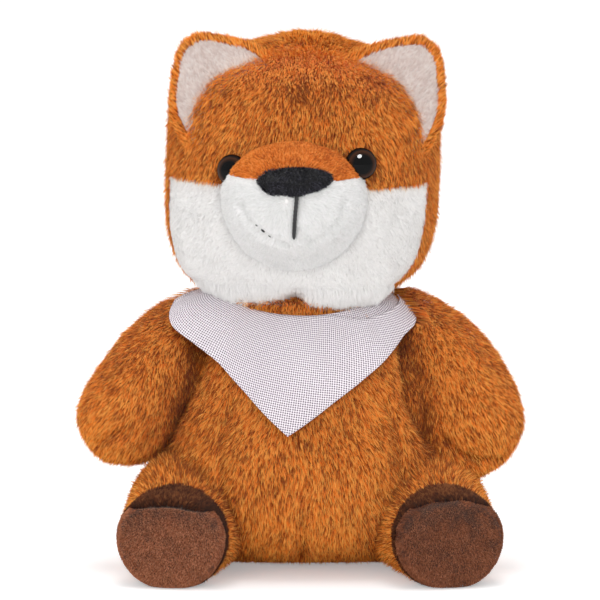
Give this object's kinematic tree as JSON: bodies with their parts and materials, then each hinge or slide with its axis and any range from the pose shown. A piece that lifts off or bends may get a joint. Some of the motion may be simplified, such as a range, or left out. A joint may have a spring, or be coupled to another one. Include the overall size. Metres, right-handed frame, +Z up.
{
  "type": "plush fox",
  "caption": "Sitting stuffed fox with domed eyes, white mask and muzzle, brown feet and a plain bandana tied round its neck.",
  "frame": {"origin": "middle of the toy's outline on the floor it sits on", "axes": "+Z up, the face looks along -Y, the fox's own left is +X"},
  "size_m": [0.166, 0.1476, 0.1997],
  "materials": {
    "orange_plush": "long pile plush",
    "bridge_velour": "short pile",
    "white_plush": "short plush",
    "ear_lining": "short plush",
    "brown_velour": "brushed short pile",
    "stuffing": "polyester fibre",
    "black_embroidery": "satin stitch",
    "eye_plastic": "polished",
    "washer_plastic": "moulded",
    "bandana_knit": "fine knit"
  },
  "bodies": {
    "body": {"belly_panel": "orange_plush", "body_left_panel": "orange_plush", "body_right_panel": "orange_plush", "body_base_panel": "orange_plush", "body_stuffing": "stuffing", "bandana": "bandana_knit", "bandana_knot": "bandana_knit"},
    "head": {"head_crown_panel": "orange_plush", "head_back_panel": "orange_plush", "cheek_left_panel": "white_plush", "cheek_right_panel": "white_plush", "head_stuffing": "stuffing", "muzzle_bridge_panel": "bridge_velour", "muzzle_panel": "white_plush", "muzzle_stuffing": "stuffing", "nose": "black_embroidery", "mouth_stitch": "black_embroidery", "smile_left_stitch": "black_embroidery", "smile_right_stitch": "black_embroidery", "eye_left": "eye_plastic", "eye_right": "eye_plastic", "eye_left_washer": "washer_plastic", "eye_right_washer": "washer_plastic"},
    "ear_left": {"ear_left_back": "orange_plush", "ear_left_lining": "ear_lining"},
    "ear_right": {"ear_right_back": "orange_plush", "ear_right_lining": "ear_lining"},
    "arm_left": {"arm_left_skin": "orange_plush", "arm_left_stuffing": "stuffing"},
    "arm_right": {"arm_right_skin": "orange_plush", "arm_right_stuffing": "stuffing"},
    "leg_left": {"leg_left_skin": "orange_plush", "foot_left_cap": "brown_velour", "foot_left_sole": "brown_velour", "leg_left_stuffing": "stuffing"},
    "leg_right": {"leg_right_skin": "orange_plush", "foot_right_cap": "brown_velour", "foot_right_sole": "brown_velour", "leg_right_stuffing": "stuffing"},
    "tail": {"tail_skin": "orange_plush", "tail_tip": "white_plush", "tail_stuffing": "stuffing"}
  },
  "joints": [
    {"name": "head_turn", "type": "hinge", "parent": "body", "child": "head", "pos_m": [0.0004, 0.001, 0.1], "axis": [0, 0, 1], "range_deg": [-20, 20], "stiffness_Nm_per_rad": 0.03},
    {"name": "ear_left_flex", "type": "hinge", "parent": "head", "child": "ear_left", "pos_m": [0.03349, -0.02789, 0.17668], "axis": [0.7363, 0.0656, -0.6734], "range_deg": [-10, 15], "stiffness_Nm_per_rad": 0.006},
    {"name": "ear_right_flex", "type": "hinge", "parent": "head", "child": "ear_right", "pos_m": [-0.031, -0.02225, 0.17803], "axis": [0.7411, -0.1949, 0.6425], "range_deg": [-10, 15], "stiffness_Nm_per_rad": 0.006},
    {"name": "arm_left_raise", "type": "hinge", "parent": "body", "child": "arm_left", "pos_m": [0.0387, -0.004, 0.101], "axis": [0, -1, 0], "range_deg": [0, 26], "stiffness_Nm_per_rad": 0.02},
    {"name": "arm_right_raise", "type": "hinge", "parent": "body", "child": "arm_right", "pos_m": [-0.0343, -0.004, 0.101], "axis": [0, 1, 0], "range_deg": [0, 26], "stiffness_Nm_per_rad": 0.02},
    {"name": "leg_left_swing", "type": "hinge", "parent": "body", "child": "leg_left", "pos_m": [0.0437, -0.0025, 0.0185], "axis": [0, 0, 1], "range_deg": [-8, 16], "stiffness_Nm_per_rad": 0.03},
    {"name": "leg_right_swing", "type": "hinge", "parent": "body", "child": "leg_right", "pos_m": [-0.0393, -0.0025, 0.0185], "axis": [0, 0, -1], "range_deg": [-8, 16], "stiffness_Nm_per_rad": 0.03},
    {"name": "tail_swing", "type": "hinge", "parent": "body", "child": "tail", "pos_m": [0.0022, 0.039, 0.021], "axis": [0, 0, 1], "range_deg": [-18, 18], "stiffness_Nm_per_rad": 0.01}
  ]
}
